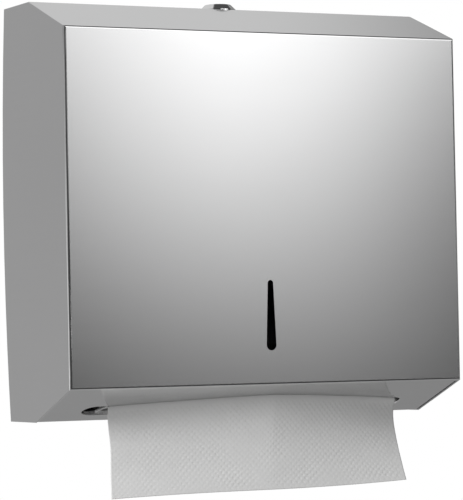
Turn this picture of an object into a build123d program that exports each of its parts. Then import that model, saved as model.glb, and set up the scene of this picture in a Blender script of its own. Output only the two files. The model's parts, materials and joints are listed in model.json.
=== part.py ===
from build123d import *
import os
from math import atan2, cos, degrees, hypot, pi, radians, sin, tan

# Paper towel dispenser for a wall: a drop-down steel cover over a fixed back plate and base pan.
# Millimetres. Origin at the middle of the wall face, +Y into the wall, +Z up, the front faces -Y.

# Overall size
WIDTH = 280.0
HEIGHT = 267.0
DEPTH = 100.0
FLAT_DEPTH = 44.0
CHAMFER_DROP = 21.2

# Sheet metal and the gaps between its pieces
COVER_SHEET = 0.8
PLATE_SHEET = 1.0
BEND_RADIUS = 1.8
WELD_RADIUS = 0.5
PLATE_BEND_RADIUS = 1.6
PAN_BEND_RADIUS = 1.1
WALL_GAP = 2.5
SEAM_GAP = 0.4
FIT_GAP = 0.3
RUN_GAP = 0.05
OVERRUN = 5.0

# Cover: side sheets sprung out at their free rear edge, turned-in lower lip and teardrop sight slot
SIDE_SPRING = 2.8
LIP_DEPTH = 3.0
SIGHT_LENGTH = 44.8
SIGHT_TOP_RADIUS = 1.95
SIGHT_LOW_RADIUS = 3.5
SIGHT_RISE = 21.6

# Hinge of the cover, low at the back
HINGE_FROM_WALL = 7.0
HINGE_RISE = 5.0
PIN_RADIUS = 1.5
PIN_HEAD_RADIUS = 3.0
PIN_HEAD_LENGTH = 1.0
PIN_END_GAP = 0.5
LUG_RADIUS = 3.2
LUG_LENGTH = 16.0
LUG_THICKNESS = 4.0
HINGE_WASHER_THICKNESS = 1.2

# Back plate with its top flange, which is the strike of the lock
PLATE_SIDE_GAP = 3.2
PLATE_LOW_GAP = 1.8
FLANGE_DROP = 4.2
FLANGE_DEPTH = 40.0
STRIKE_HEIGHT = 20.0
STRIKE_NOTCH_WIDTH = 27.0
STRIKE_NOTCH_BACK = 14.0
STRIKE_NOTCH_RADIUS = 3.0
SCREW_SPACING_X = 200.0
SCREW_SPACING_Z = 150.0
SCREW_HOLE_RADIUS = 3.0

# Base pan with the dispensing slot in its sloping front
PAN_RECESS = 0.4
PAN_WALL = 12.0
SLOT_END_MARGIN = 25.5
SLOT_WIDTH = 16.0
SLOT_PLACE_SHARE = 0.71
SLOT_COLLAR = 2.0
SLOT_ROLL_RADIUS = 0.9

# Inner side plates
CHEEK_LOW_DEPTH = 84.0
CHEEK_TOP_DEPTH = 30.0
CHEEK_LOW_HEIGHT = 62.0
CHEEK_TOP_DROP = 30.0
CHEEK_SHOULDER_DROP = 62.0
CHEEK_FLANGE = 13.0
CHEEK_CORNER_RADIUS = 6.0

# Rivets
RIVET_RADIUS = 1.6
RIVET_HEAD_RADIUS = 3.2
RIVET_HEAD_HEIGHT = 1.0
RIVET_EDGE = 6.5
CHEEK_RIVET_MARGIN = 14.0
CHEEK_RIVET_COUNT = 2
PAN_RIVET_SPACING = 99.0
PAN_RIVET_COUNT = 3

# Cam lock in the flat top
LOCK_FROM_RIDGE = 12.0
LOCK_RIM_RADIUS = 12.0
LOCK_RIM_HEIGHT = 0.7
LOCK_TOP_RADIUS = 8.7
LOCK_HEAD_HEIGHT = 4.0
LOCK_BARREL_RADIUS = 8.0
LOCK_FLAT_HALF = 7.2
LOCK_BARREL_LENGTH = 17.0
LOCK_NUT_FLATS = 20.0
LOCK_NUT_HEIGHT = 4.0
LOCK_WASHER_RADIUS = 10.6
LOCK_WASHER_THICKNESS = 0.8
LOCK_HOLE_GAP = 0.1
PLUG_RADIUS = 5.5
PLUG_HEAD_RADIUS = 6.8
PLUG_HEAD_HEIGHT = 2.0
PLUG_SINK = 0.4
PLUG_TAIL = 6.0
KEYWAY_WIDTH = 1.8
KEYWAY_LENGTH = 8.0
KEYWAY_DEPTH = 9.0
CAM_LENGTH = 22.0
CAM_WIDTH = 12.0
CAM_THICKNESS = 2.0
CAM_SCREW_RADIUS = 1.9
CAM_SCREW_LENGTH = 8.0
CAM_SCREW_HEAD_RADIUS = 3.5
CAM_SCREW_HEAD_HEIGHT = 2.4
CAM_SCREW_HEX = 3.0
CAM_SCREW_HEX_DEPTH = 1.4
CAM_WASHER_RADIUS = 4.6
CAM_WASHER_THICKNESS = 0.8

# Paper
TOWEL_LEFT_ROOM = 14.5
TOWEL_RIGHT_ROOM = 4.5
TOWEL_THICKNESS = 0.6
TOWEL_FROM_SLOT_EDGE = 2.2
TOWEL_INNER_RISE = 2.8
TOWEL_HANG = 48.5
TOWEL_RIGHT_LIFT = 3.5
TOWEL_BULGE_MID = 14.5
TOWEL_BULGE_END = 1.8
TOWEL_WAIST_DROP = 10.0
TOWEL_WAIST_DIP = 4.0
TOWEL_LEAN_MID = -2.0
TOWEL_LEAN_END = 10.7
TOWEL_LEAN_TWIST = 6.6
TOWEL_STATION_COUNT = 13
STACK_THICKNESS = 18.0
STACK_REAR_GAP = 6.0
STACK_FRONT_GAP = 4.0
STACK_BEND_RADIUS = 20.0

# Worked-out places
HALF_WIDTH = WIDTH / 2
TOP = HEIGHT / 2
CHAMFER_ANGLE = atan2(CHAMFER_DROP, DEPTH - FLAT_DEPTH)
INNER_HALF = HALF_WIDTH - COVER_SHEET
HINGE_Y = -HINGE_FROM_WALL
HINGE_Z = HINGE_RISE - TOP
LUG_INNER = INNER_HALF - LUG_THICKNESS
CHEEK_OUTER = LUG_INNER - HINGE_WASHER_THICKNESS - FIT_GAP
CHEEK_INNER = CHEEK_OUTER - PLATE_SHEET
PAN_HALF = INNER_HALF - SEAM_GAP
PAN_LOW = PAN_RECESS - TOP
PAN_FLOOR = PAN_LOW + PLATE_SHEET
PAN_RIM = PAN_LOW + PAN_WALL
PAN_FRONT = LIP_DEPTH + SEAM_GAP - DEPTH
SLOT_LENGTH = WIDTH - SLOT_END_MARGIN - SLOT_END_MARGIN
TOWEL_LEFT = TOWEL_LEFT_ROOM - SLOT_LENGTH / 2
TOWEL_WIDTH = SLOT_LENGTH - TOWEL_LEFT_ROOM - TOWEL_RIGHT_ROOM
FLANGE_TOP = TOP - COVER_SHEET - FLANGE_DROP
LOCK_Y = LOCK_FROM_RIDGE - FLAT_DEPTH
LOCK_FACE = TOP + LOCK_HEAD_HEIGHT
BARREL_END = TOP - LOCK_BARREL_LENGTH


def prism(points, half_width):
    """Outline in the Y-Z plane, as wide as given, centred on the middle of the object."""
    return extrude(Plane.YZ * make_face(Polyline(*points, close=True)), amount=half_width, both=True)


def slab(points, start, thickness):
    """Outline in the Y-Z plane, from one X place to another."""
    face = Plane.YZ.offset(start) * make_face(Polyline(*points, close=True))
    return extrude(face, amount=thickness)


def rod(radius, start, end):
    """Upright round bar between two heights."""
    return Pos(0, 0, (start + end) / 2) * Cylinder(radius, abs(end - start))


def lying(shape, place, direction):
    """Turn an upright shape so that its +Z runs along a direction, and put its origin at a place."""
    return Plane(origin=place, z_dir=direction) * shape


def slope_line(y, inset):
    """Height of the base's slope at a depth, moved inwards by an inset square to the slope."""
    return CHAMFER_DROP - TOP - (y + DEPTH) * tan(CHAMFER_ANGLE) + inset / cos(CHAMFER_ANGLE)


def slope_start(inset):
    """Depth at which the base's flat part, moved inwards by an inset, meets its slope."""
    return inset * tan(CHAMFER_ANGLE / 2) - FLAT_DEPTH


def side_outline(inset):
    """Side view of the cover, moved inwards by an inset, open to the wall where there is an inset."""
    back = OVERRUN if inset else -WALL_GAP
    ridge = slope_start(inset)
    front = inset - DEPTH
    return [
        (back, inset - TOP),
        (back, TOP - inset),
        (ridge, TOP - inset),
        (front, -slope_line(front, inset)),
        (front, slope_line(front, inset)),
        (ridge, inset - TOP),
    ]


def side_section(y, inset):
    """Front view of the room between the cover's sides at a depth, moved inwards by an inset."""
    spring = SIDE_SPRING * (DEPTH + y) / (DEPTH - WALL_GAP)
    middle = HALF_WIDTH - inset + spring
    height = TOP + OVERRUN
    end = middle - spring * (height / TOP) ** 2
    sides = [ThreePointArc((s * end, -height), (s * middle, 0), (s * end, height)) for s in (-1, 1)]
    levels = [Line((-end, z), (end, z)) for z in (-height, height)]
    return Plane.XZ.offset(-y) * make_face(sides + levels)


def side_room(inset):
    """Room between the cover's sides: straight at the front, sprung out towards the rear edge."""
    return loft([side_section(y, inset) for y in (-DEPTH - OVERRUN, OVERRUN + OVERRUN)], ruled=True)


def folded_block(inset, bend_radius, seam_radius):
    """The cover's outer form, or its hollow, with rounded bends and ground seams."""
    block = prism(side_outline(inset), WIDTH) & side_room(inset)
    front = block.faces().sort_by(Axis.Y)[0]
    ridge = block.edges().filter_by(Axis.X).group_by(Axis.Z)[-1].sort_by(Axis.Y)[0]
    block = fillet(list(front.edges()) + [ridge], bend_radius)
    if seam_radius:
        seams = [e for e in block.edges() if abs(e.center().X) > INNER_HALF]
        seams = [e for e in seams if e.center().Z > TOP - CHAMFER_DROP]
        seams = [e for e in seams if abs(e.tangent_at(0).Y) > sin(CHAMFER_ANGLE)]
        block = fillet(seams, seam_radius)
    return block


def make_cover_shell():
    shell = folded_block(0, BEND_RADIUS, WELD_RADIUS)
    shell -= folded_block(COVER_SHEET, BEND_RADIUS - COVER_SHEET, 0)
    mouth_front = LIP_DEPTH - DEPTH
    mouth = [(mouth_front, 0), (OVERRUN, 0), (OVERRUN, -TOP - OVERRUN), (mouth_front, -TOP - OVERRUN)]
    shell -= prism(mouth, WIDTH) & side_room(COVER_SHEET)
    low = CHAMFER_DROP - TOP + SIGHT_RISE + SIGHT_LOW_RADIUS
    high = low + SIGHT_LENGTH - SIGHT_LOW_RADIUS - SIGHT_TOP_RADIUS
    lean = (SIGHT_LOW_RADIUS - SIGHT_TOP_RADIUS) / (high - low)
    spread = (1 - lean * lean) ** 0.5
    low_side = (SIGHT_LOW_RADIUS * spread, low + SIGHT_LOW_RADIUS * lean)
    high_side = (SIGHT_TOP_RADIUS * spread, high + SIGHT_TOP_RADIUS * lean)
    flanks = [low_side, high_side, (-high_side[0], high_side[1]), (-low_side[0], low_side[1])]
    teardrop = make_face(Polyline(*flanks, close=True))
    teardrop += Pos(0, low) * Circle(SIGHT_LOW_RADIUS) + Pos(0, high) * Circle(SIGHT_TOP_RADIUS)
    shell -= extrude(Plane.XZ.offset(DEPTH - OVERRUN) * teardrop, amount=OVERRUN + OVERRUN)
    return shell - Pos(0, LOCK_Y, 0) * lock_bar(LOCK_HOLE_GAP, TOP - OVERRUN, TOP + OVERRUN)


def lock_bar(gap, start, end):
    """The lock's threaded barrel with its two flats, or the hole for it."""
    bar = rod(LOCK_BARREL_RADIUS + gap, start, end)
    flat_width = LOCK_FLAT_HALF + gap
    return bar & Box(flat_width + flat_width, WIDTH, HEIGHT + HEIGHT)


def make_hinge_lug(side):
    start = side * LUG_INNER
    outline = [
        (HINGE_Y - LUG_RADIUS, HINGE_Z),
        (HINGE_Y + LUG_RADIUS, HINGE_Z),
        (HINGE_Y + LUG_RADIUS, HINGE_Z + LUG_LENGTH),
        (HINGE_Y - LUG_RADIUS, HINGE_Z + LUG_LENGTH),
    ]
    reach = LUG_THICKNESS + SIDE_SPRING
    lug = slab(outline, start, side * reach)
    axis_place = (start, HINGE_Y, HINGE_Z)
    lug += lying(rod(LUG_RADIUS, 0, reach), axis_place, (side, 0, 0))
    lug -= lying(rod(PIN_RADIUS + RUN_GAP, -OVERRUN, LUG_THICKNESS), axis_place, (side, 0, 0))
    return lug & side_room(COVER_SHEET)


def make_hinge_pin(side):
    reach = INNER_HALF - PIN_END_GAP - CHEEK_INNER
    pin = rod(PIN_RADIUS, 0, reach) + rod(PIN_HEAD_RADIUS, -PIN_HEAD_LENGTH, 0)
    return lying(pin, (side * CHEEK_INNER, HINGE_Y, HINGE_Z), (side, 0, 0))


def make_hinge_washer(side):
    ring = rod(LUG_RADIUS, 0, HINGE_WASHER_THICKNESS)
    ring -= rod(PIN_RADIUS + RUN_GAP, -OVERRUN, HINGE_WASHER_THICKNESS + OVERRUN)
    return lying(ring, (side * CHEEK_OUTER, HINGE_Y, HINGE_Z), (side, 0, 0))


def cheek_rivet_places():
    low = PAN_RIM + CHEEK_RIVET_MARGIN
    step = (TOP - CHEEK_TOP_DROP - CHEEK_RIVET_MARGIN - low) / (CHEEK_RIVET_COUNT - 1)
    across = CHEEK_OUTER - RIVET_EDGE
    return [(side * across, low + i * step) for side in (-1, 1) for i in range(CHEEK_RIVET_COUNT)]


def pan_rivet_places():
    first = -PAN_RIVET_SPACING * (PAN_RIVET_COUNT - 1) / 2
    height = PAN_RIM - RIVET_EDGE + PLATE_SHEET
    return [(first + i * PAN_RIVET_SPACING, height) for i in range(PAN_RIVET_COUNT)]


def rivet_holes(places):
    bore = rod(RIVET_RADIUS, -OVERRUN, OVERRUN)
    return [lying(bore, (x, 0, z), (0, -1, 0)) for x, z in places]


def make_rivets(places):
    """Blind rivets through the back plate and one more sheet, flush at the wall."""
    grip = PLATE_SHEET + PLATE_SHEET
    rivet = rod(RIVET_RADIUS, 0, grip) + rod(RIVET_HEAD_RADIUS, grip, grip + RIVET_HEAD_HEIGHT)
    return Compound(children=[lying(rivet, (x, 0, z), (0, -1, 0)) for x, z in places])


def make_back_plate():
    low = PLATE_LOW_GAP - TOP
    front = -FLANGE_DEPTH
    outline = [
        (0, low),
        (0, FLANGE_TOP),
        (front, FLANGE_TOP),
        (front, FLANGE_TOP - STRIKE_HEIGHT),
        (front + PLATE_SHEET, FLANGE_TOP - STRIKE_HEIGHT),
        (front + PLATE_SHEET, FLANGE_TOP - PLATE_SHEET),
        (-PLATE_SHEET, FLANGE_TOP - PLATE_SHEET),
        (-PLATE_SHEET, low),
    ]
    plate = prism(outline, INNER_HALF - PLATE_SIDE_GAP)
    bends = plate.edges().filter_by(Axis.X).group_by(Axis.Z)[-1]
    plate = fillet(bends, PLATE_BEND_RADIUS)
    inner_bends = plate.edges().filter_by(Axis.X)
    inner_bends = [e for e in inner_bends if abs(e.center().Z - FLANGE_TOP + PLATE_SHEET) < RUN_GAP]
    plate = fillet(inner_bends, PLATE_BEND_RADIUS - PLATE_SHEET)
    notch_depth = FLANGE_DEPTH + LOCK_Y + STRIKE_NOTCH_BACK
    notch = Box(STRIKE_NOTCH_WIDTH, notch_depth + OVERRUN, STRIKE_HEIGHT + OVERRUN)
    back_corners = notch.edges().filter_by(Axis.Z).group_by(Axis.Y)[-1]
    notch = fillet(back_corners, STRIKE_NOTCH_RADIUS)
    notch_middle = (LOCK_Y + STRIKE_NOTCH_BACK - FLANGE_DEPTH - OVERRUN) / 2
    plate -= Pos(0, notch_middle, FLANGE_TOP - STRIKE_HEIGHT / 2) * notch
    screw_hole = rod(SCREW_HOLE_RADIUS, -OVERRUN, OVERRUN)
    for x in (-SCREW_SPACING_X / 2, SCREW_SPACING_X / 2):
        for z in (-SCREW_SPACING_Z / 2, SCREW_SPACING_Z / 2):
            plate -= lying(screw_hole, (x, 0, z), (0, -1, 0))
    return plate - rivet_holes(cheek_rivet_places() + pan_rivet_places())


def slot_plane():
    """Plane of the dispensing slot: on the slope's outer face, X along the slot, Z outwards."""
    y = SLOT_PLACE_SHARE * (DEPTH - FLAT_DEPTH) - DEPTH
    outwards = (0, -sin(CHAMFER_ANGLE), -cos(CHAMFER_ANGLE))
    return Plane(origin=(0, y, slope_line(y, PAN_RECESS)), x_dir=(1, 0, 0), z_dir=outwards)


def make_base_pan():
    inset = PAN_RECESS + PLATE_SHEET
    rear = -PLATE_SHEET
    rear_inner = rear - PLATE_SHEET
    front_inner = PAN_FRONT + PLATE_SHEET
    outline = [
        (rear, PAN_LOW),
        (slope_start(PAN_RECESS), PAN_LOW),
        (PAN_FRONT, slope_line(PAN_FRONT, PAN_RECESS)),
        (PAN_FRONT, slope_line(PAN_FRONT, PAN_RECESS) + PAN_WALL),
        (slope_start(PAN_RECESS), PAN_RIM),
        (rear, PAN_RIM),
    ]
    hollow = [
        (rear_inner, PAN_FLOOR),
        (slope_start(inset), PAN_FLOOR),
        (front_inner, slope_line(front_inner, inset)),
        (front_inner, slope_line(front_inner, inset) + PAN_WALL + OVERRUN),
        (slope_start(inset), PAN_RIM + OVERRUN),
        (rear_inner, PAN_RIM + OVERRUN),
    ]
    pan = prism(outline, PAN_HALF)
    low_faces = [f for f in pan.faces() if f.normal_at().Z < -sin(CHAMFER_ANGLE)]
    fold = slope_start(PAN_RECESS)
    rims = [e for f in low_faces for e in f.edges() if abs(e.center().Y - fold) > RUN_GAP]
    pan = fillet(rims, PAN_BEND_RADIUS)
    pan -= prism(hollow, PAN_HALF - PLATE_SHEET)
    lug_room = HINGE_FROM_WALL + hypot(LUG_LENGTH, LUG_RADIUS) + FIT_GAP
    room = Box(WIDTH, lug_room - PLATE_SHEET - PLATE_SHEET, PAN_WALL + PAN_WALL)
    room -= Box(LUG_INNER + LUG_INNER, WIDTH, HEIGHT)
    pan -= Pos(0, -(lug_room + PLATE_SHEET + PLATE_SHEET) / 2, PAN_FLOOR + PAN_WALL) * room
    plane = slot_plane()
    rim = SLOT_WIDTH + PLATE_SHEET + PLATE_SHEET
    collar = SlotOverall(SLOT_LENGTH + PLATE_SHEET + PLATE_SHEET, rim)
    pan += extrude(plane * collar, amount=-PLATE_SHEET - SLOT_COLLAR)
    pan -= extrude(plane * SlotOverall(SLOT_LENGTH, SLOT_WIDTH), amount=OVERRUN, both=True)
    mouth = [e for e in pan.edges() if on_slot_mouth(e, plane)]
    pan = fillet(mouth, SLOT_ROLL_RADIUS)
    return pan - rivet_holes(pan_rivet_places())


def on_slot_mouth(edge, plane):
    """Whether an edge lies on the slope's outer face, on the slot's outline."""
    spot = plane.to_local_coords(edge.center())
    near = abs(spot.X) < SLOT_LENGTH / 2 and abs(spot.Y) < SLOT_WIDTH / 2 + RUN_GAP
    return near and abs(spot.Z) < RUN_GAP


def make_cheek(side):
    floor = PAN_FLOOR + FIT_GAP
    inset = PAN_RECESS + PLATE_SHEET + FIT_GAP
    behind_pan = -PLATE_SHEET - PLATE_SHEET - FIT_GAP
    low_front = -CHEEK_LOW_DEPTH
    over_slope = slope_line(low_front, inset)
    outline = [
        (behind_pan, floor),
        (slope_start(inset), floor),
        (low_front, over_slope),
        (low_front, over_slope + CHEEK_LOW_HEIGHT),
        (-CHEEK_TOP_DEPTH, TOP - CHEEK_SHOULDER_DROP),
        (-CHEEK_TOP_DEPTH, TOP - CHEEK_TOP_DROP),
        (-PLATE_SHEET, TOP - CHEEK_TOP_DROP),
        (-PLATE_SHEET, PAN_RIM + FIT_GAP),
        (behind_pan, PAN_RIM + FIT_GAP),
    ]
    cheek = slab(outline, side * CHEEK_INNER, side * PLATE_SHEET)
    front_corners = cheek.edges().filter_by(Axis.X)
    front_corners = [e for e in front_corners if e.center().Y < -CHEEK_TOP_DEPTH + RUN_GAP]
    front_corners = [e for e in front_corners if e.center().Z > over_slope + RUN_GAP]
    cheek = fillet(front_corners, CHEEK_CORNER_RADIUS)
    flange_height = TOP - CHEEK_TOP_DROP - PAN_RIM - FIT_GAP
    flange = Box(CHEEK_FLANGE, PLATE_SHEET, flange_height)
    flange_middle = (TOP - CHEEK_TOP_DROP + PAN_RIM + FIT_GAP) / 2
    cheek += Pos(side * (CHEEK_OUTER - CHEEK_FLANGE / 2), -PLATE_SHEET * 3 / 2, flange_middle) * flange
    pin_place = (side * CHEEK_INNER, HINGE_Y, HINGE_Z)
    pin_hole = lying(rod(PIN_RADIUS, -OVERRUN, OVERRUN), pin_place, (side, 0, 0))
    return cheek - pin_hole - rivet_holes(cheek_rivet_places())


def make_lock_body():
    profile = [
        (0, TOP),
        (LOCK_RIM_RADIUS, TOP),
        (LOCK_RIM_RADIUS, TOP + LOCK_RIM_HEIGHT),
        (LOCK_TOP_RADIUS, LOCK_FACE),
        (0, LOCK_FACE),
    ]
    body = revolve(Plane.XZ * make_face(Polyline(*profile, close=True)), Axis.Z)
    body += lock_bar(0, BARREL_END, TOP)
    body -= rod(PLUG_RADIUS + RUN_GAP, BARREL_END - OVERRUN, LOCK_FACE + OVERRUN)
    body -= rod(PLUG_HEAD_RADIUS + RUN_GAP, LOCK_FACE - PLUG_SINK - PLUG_HEAD_HEIGHT, LOCK_FACE + OVERRUN)
    return Pos(0, LOCK_Y, 0) * body


def make_lock_washer():
    top = TOP - COVER_SHEET
    ring = rod(LOCK_WASHER_RADIUS, top - LOCK_WASHER_THICKNESS, top)
    return Pos(0, LOCK_Y, 0) * (ring - lock_bar(LOCK_HOLE_GAP, top - OVERRUN, top + OVERRUN))


def make_lock_nut():
    top = TOP - COVER_SHEET - LOCK_WASHER_THICKNESS
    corner = LOCK_NUT_FLATS / 2 / cos(pi / 6)
    hexagon = extrude(RegularPolygon(corner, 6, rotation=degrees(pi / 6)), amount=-LOCK_NUT_HEIGHT)
    nut = Pos(0, 0, top) * hexagon - rod(LOCK_BARREL_RADIUS + RUN_GAP, top - HEIGHT, top + OVERRUN)
    return Pos(0, LOCK_Y, 0) * nut


def tail_square(gap):
    return Rectangle(PLUG_TAIL + gap + gap, PLUG_TAIL + gap + gap)


def make_lock_plug():
    face = LOCK_FACE - PLUG_SINK
    plug = rod(PLUG_RADIUS, BARREL_END, face) + rod(PLUG_HEAD_RADIUS, face - PLUG_HEAD_HEIGHT, face)
    plug += Pos(0, 0, BARREL_END) * extrude(tail_square(0), amount=-CAM_THICKNESS)
    plug -= Pos(0, 0, face) * Box(KEYWAY_WIDTH, KEYWAY_LENGTH, KEYWAY_DEPTH + KEYWAY_DEPTH)
    screw_hole_end = BARREL_END - CAM_THICKNESS + CAM_SCREW_LENGTH
    plug -= rod(CAM_SCREW_RADIUS + RUN_GAP, BARREL_END - CAM_THICKNESS - OVERRUN, screw_hole_end)
    return Pos(0, LOCK_Y, 0) * plug


def make_lock_cam():
    overall = CAM_LENGTH + CAM_WIDTH / 2
    shape = Pos(0, (CAM_LENGTH - CAM_WIDTH / 2) / 2) * SlotOverall(overall, CAM_WIDTH, rotation=90)
    cam = Pos(0, 0, BARREL_END) * extrude(shape - tail_square(RUN_GAP), amount=-CAM_THICKNESS)
    return Pos(0, LOCK_Y, 0) * cam


def make_cam_washer():
    top = BARREL_END - CAM_THICKNESS
    ring = rod(CAM_WASHER_RADIUS, top - CAM_WASHER_THICKNESS, top)
    return Pos(0, LOCK_Y, 0) * (ring - rod(CAM_SCREW_RADIUS + RUN_GAP, top - OVERRUN, top + OVERRUN))


def make_cam_screw():
    seat = BARREL_END - CAM_THICKNESS - CAM_WASHER_THICKNESS
    head_end = seat - CAM_SCREW_HEAD_HEIGHT
    screw = rod(CAM_SCREW_RADIUS, seat, seat + CAM_SCREW_LENGTH)
    screw += rod(CAM_SCREW_HEAD_RADIUS, head_end, seat)
    hexagon = extrude(RegularPolygon(CAM_SCREW_HEX / 2 / cos(pi / 6), 6), amount=CAM_SCREW_HEX_DEPTH)
    return Pos(0, LOCK_Y, 0) * (screw - Pos(0, 0, head_end) * hexagon)


def strip_edge(start, heading, runs, shift):
    """One side of a sheet's section: straight runs and arcs laid end to end, moved sideways by a shift.

    A run is a length with no turn, or a radius with a turn in degrees, left turns positive.
    """
    edges = []
    spot = Vector(*start)
    angle = radians(heading)
    for size, turn in runs:
        normal = Vector(-sin(angle), cos(angle))
        begin = spot + normal * shift
        if turn:
            hand = 1 if turn > 0 else -1
            centre = spot + normal * size * hand
            half, angle = angle + radians(turn) / 2, angle + radians(turn)
            half_normal = Vector(-sin(half), cos(half))
            normal = Vector(-sin(angle), cos(angle))
            spot = centre - normal * size * hand
            middle = centre - half_normal * (size * hand - shift)
            edges.append(ThreePointArc(begin, middle, spot + normal * shift))
        else:
            spot = spot + Vector(cos(angle), sin(angle)) * size
            edges.append(Line(begin, spot + normal * shift))
    return edges


def strip_face(start, heading, runs, thickness):
    """Section of a bent sheet of even thickness, in plane coordinates."""
    left = strip_edge(start, heading, runs, thickness / 2)
    right = strip_edge(start, heading, runs, -thickness / 2)
    ends = [Line(left[0] @ 0, right[0] @ 0), Line(left[-1] @ 1, right[-1] @ 1)]
    return make_face(left + right + ends)


def creased_face(points, thickness):
    """Section of a creased sheet of even thickness along a line of points, in plane coordinates."""
    spots = [Vector(*p) for p in points]
    runs = [(after - spot).normalized() for spot, after in zip(spots, spots[1:])]
    sides = []
    for spot, before, after in zip(spots, runs[:1] + runs, runs + runs[-1:]):
        across = Vector(-before.Y - after.Y, before.X + after.X) / (1 + before.dot(after))
        sides.append((spot + across * thickness / 2, spot - across * thickness / 2))
    outline = [left for left, right in sides] + [right for left, right in reversed(sides)]
    return make_face(Polyline(*outline, close=True))


def towel_section(place_share):
    """Section of the hanging towel: down through the slot, forward to a crease at the slope, then down."""
    bow_share = 1 - place_share * place_share
    slot_front = slot_plane().origin.Y - SLOT_WIDTH / 2 * cos(CHAMFER_ANGLE)
    start_y = slot_front + TOWEL_FROM_SLOT_EDGE
    crease_y = start_y - TOWEL_BULGE_END - (TOWEL_BULGE_MID - TOWEL_BULGE_END) * bow_share
    clear = (TOWEL_THICKNESS / 2 + FIT_GAP) / cos(CHAMFER_ANGLE)
    crease_z = slope_line(crease_y, PAN_RECESS) - clear
    right_share = (1 + place_share) / 2
    waist_y = crease_y + TOWEL_WAIST_DIP * right_share * (1 - bow_share)
    waist_z = crease_z - TOWEL_WAIST_DROP
    lean = TOWEL_LEAN_END + (TOWEL_LEAN_MID - TOWEL_LEAN_END) * bow_share + TOWEL_LEAN_TWIST * place_share
    low_z = TOWEL_RIGHT_LIFT * right_share - TOP - TOWEL_HANG
    points = [
        (start_y, slope_line(start_y, PAN_RECESS) + TOWEL_INNER_RISE),
        (start_y, slope_line(start_y, PAN_RECESS) - clear),
        (crease_y, crease_z),
        (waist_y, waist_z),
        (waist_y - (waist_z - low_z) * tan(radians(lean)), low_z),
    ]
    return creased_face(points, TOWEL_THICKNESS)


def make_hanging_towel():
    sections = []
    for i in range(TOWEL_STATION_COUNT):
        place_share = 2 * i / (TOWEL_STATION_COUNT - 1) - 1
        x = TOWEL_LEFT + (1 + place_share) / 2 * TOWEL_WIDTH
        sections.append(Plane.YZ.offset(x) * towel_section(place_share))
    return loft(sections, ruled=True)


def make_towel_stack():
    """Low stack of folded towels, sagging over the slope on the slot's collar."""
    lift = SLOT_COLLAR + PLATE_SHEET + FIT_GAP + PAN_RECESS + STACK_THICKNESS / 2
    bend = STACK_BEND_RADIUS * tan(CHAMFER_ANGLE / 2)
    flat_run = -slope_start(lift) - STACK_REAR_GAP - bend
    bend_end = slope_start(lift) - bend * cos(CHAMFER_ANGLE)
    front = PAN_FRONT + PLATE_SHEET + STACK_FRONT_GAP + STACK_THICKNESS / 2 * sin(CHAMFER_ANGLE)
    front_run = (bend_end - front) / cos(CHAMFER_ANGLE)
    runs = [(flat_run, 0), (STACK_BEND_RADIUS, -degrees(CHAMFER_ANGLE)), (front_run, 0)]
    face = strip_face((-STACK_REAR_GAP, lift - TOP), 180, runs, STACK_THICKNESS)
    return extrude(Plane.YZ.offset(TOWEL_LEFT) * face, amount=TOWEL_WIDTH)


os.makedirs("parts", exist_ok=True)
pieces = {
    "cover_shell": make_cover_shell(),
    "hinge_lug_left": make_hinge_lug(-1),
    "hinge_lug_right": make_hinge_lug(1),
    "hinge_pin_left": make_hinge_pin(-1),
    "hinge_pin_right": make_hinge_pin(1),
    "hinge_washer_left": make_hinge_washer(-1),
    "hinge_washer_right": make_hinge_washer(1),
    "back_plate": make_back_plate(),
    "base_pan": make_base_pan(),
    "left_cheek": make_cheek(-1),
    "right_cheek": make_cheek(1),
    "cheek_rivets": make_rivets(cheek_rivet_places()),
    "pan_rivets": make_rivets(pan_rivet_places()),
    "lock_body": make_lock_body(),
    "lock_washer": make_lock_washer(),
    "lock_nut": make_lock_nut(),
    "lock_plug": make_lock_plug(),
    "lock_cam": make_lock_cam(),
    "cam_washer": make_cam_washer(),
    "cam_screw": make_cam_screw(),
    "hanging_towel": make_hanging_towel(),
    "towel_stack": make_towel_stack(),
}
for node, shape in pieces.items():
    export_step(shape, f"parts/{node}.step")
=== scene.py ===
import json
import math
import random

import bpy
import numpy as np
from mathutils import Matrix, Vector


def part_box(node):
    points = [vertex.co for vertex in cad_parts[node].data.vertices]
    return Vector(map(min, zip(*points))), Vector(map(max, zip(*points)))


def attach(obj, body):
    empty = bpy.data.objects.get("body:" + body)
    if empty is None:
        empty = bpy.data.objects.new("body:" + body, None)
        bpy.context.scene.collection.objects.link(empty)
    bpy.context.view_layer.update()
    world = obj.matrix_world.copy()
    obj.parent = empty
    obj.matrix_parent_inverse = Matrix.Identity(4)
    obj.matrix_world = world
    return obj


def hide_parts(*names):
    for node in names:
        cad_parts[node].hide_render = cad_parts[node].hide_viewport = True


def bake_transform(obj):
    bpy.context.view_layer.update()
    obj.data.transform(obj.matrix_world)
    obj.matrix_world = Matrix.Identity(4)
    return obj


# Looks of a wall paper towel dispenser: polished sheet steel, a chromed cam lock and embossed paper.
# Metres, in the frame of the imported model: +X right, +Y into the wall, +Z up, the front faces -Y.

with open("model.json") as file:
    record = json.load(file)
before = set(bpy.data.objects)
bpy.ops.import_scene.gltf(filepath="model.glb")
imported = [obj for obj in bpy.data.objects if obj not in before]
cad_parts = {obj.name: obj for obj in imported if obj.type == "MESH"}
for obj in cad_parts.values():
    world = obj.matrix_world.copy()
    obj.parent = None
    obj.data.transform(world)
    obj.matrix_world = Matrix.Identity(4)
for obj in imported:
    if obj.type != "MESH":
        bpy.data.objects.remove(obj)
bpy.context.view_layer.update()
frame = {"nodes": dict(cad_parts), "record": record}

# Camera of the photograph
IMAGE_HEIGHT = 500
FOCAL_PIXELS = 2774.5
SENSOR = 36.0
CAMERA_PLACE = (-0.8120, -1.6706, -0.0812)
CAMERA_YAW = -26.549
CAMERA_PITCH = 1.779
CAMERA_ROLL = -1.111
CLIP_NEAR = 0.05
CLIP_FAR = 100.0

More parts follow.
